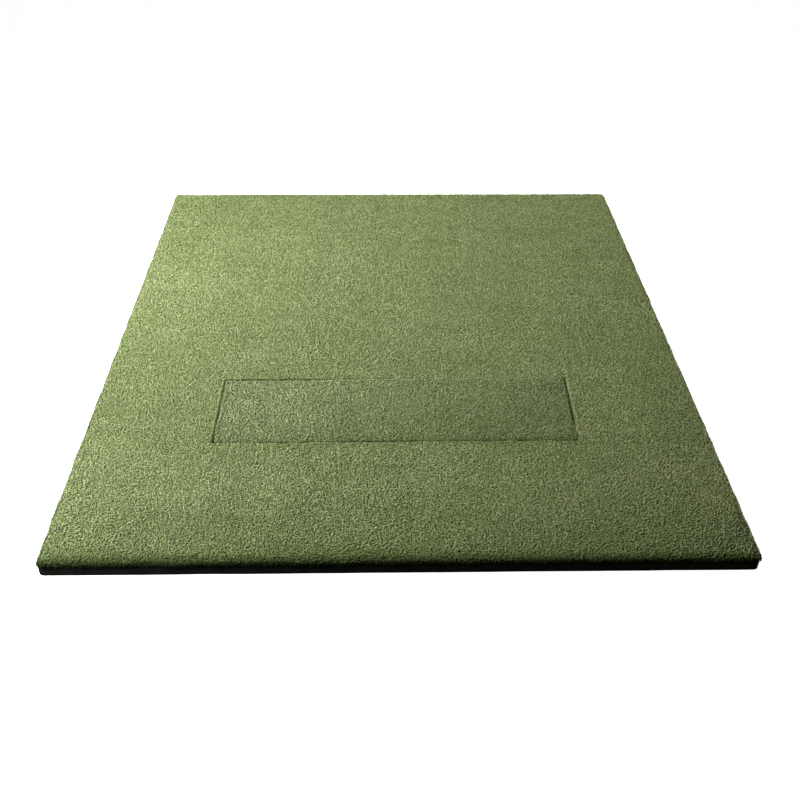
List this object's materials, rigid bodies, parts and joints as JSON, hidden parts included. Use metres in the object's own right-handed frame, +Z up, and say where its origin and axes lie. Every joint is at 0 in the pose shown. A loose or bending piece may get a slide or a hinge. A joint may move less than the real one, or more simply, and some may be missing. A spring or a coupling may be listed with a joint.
{
  "type": "golf hitting mat",
  "caption": "Flat rectangular practice mat of dense short green turf on a black foam and rubber base, with a lift-out hitting strip set in a window near the front edge.",
  "frame": {"origin": "on the floor, under the middle of the mat", "axes": "+Z up through the layers, +X to the right and -Y towards the front edge, which the hitting strip lies near; the golfer's ball lies on the strip"},
  "size_m": [1.219, 1.524, 0.03],
  "materials": {
    "underlay_rubber": "matte",
    "base_foam": "matte",
    "turf_backing": "matte",
    "stance_yarn": "matte",
    "hook_tape": "satin",
    "loop_tape": "matte",
    "strip_foam": "matte",
    "strip_yarn": "matte"
  },
  "bodies": {
    "mat": {"rubber_underlay": "underlay_rubber", "foam_base": "base_foam", "stance_turf_backing": "turf_backing", "stance_turf_pile": "stance_yarn", "hook_tape_left": "hook_tape", "hook_tape_centre": "hook_tape", "hook_tape_right": "hook_tape"},
    "hitting_strip": {"loop_tape_left": "loop_tape", "loop_tape_centre": "loop_tape", "loop_tape_right": "loop_tape", "strip_foam_pad": "strip_foam", "strip_turf_backing": "turf_backing", "strip_turf_pile": "strip_yarn"}
  },
  "joints": [
    {"name": "strip_lift", "type": "slide", "parent": "mat", "child": "hitting_strip", "axis": [0, 0, 1], "range_m": [0, 0.06]}
  ]
}
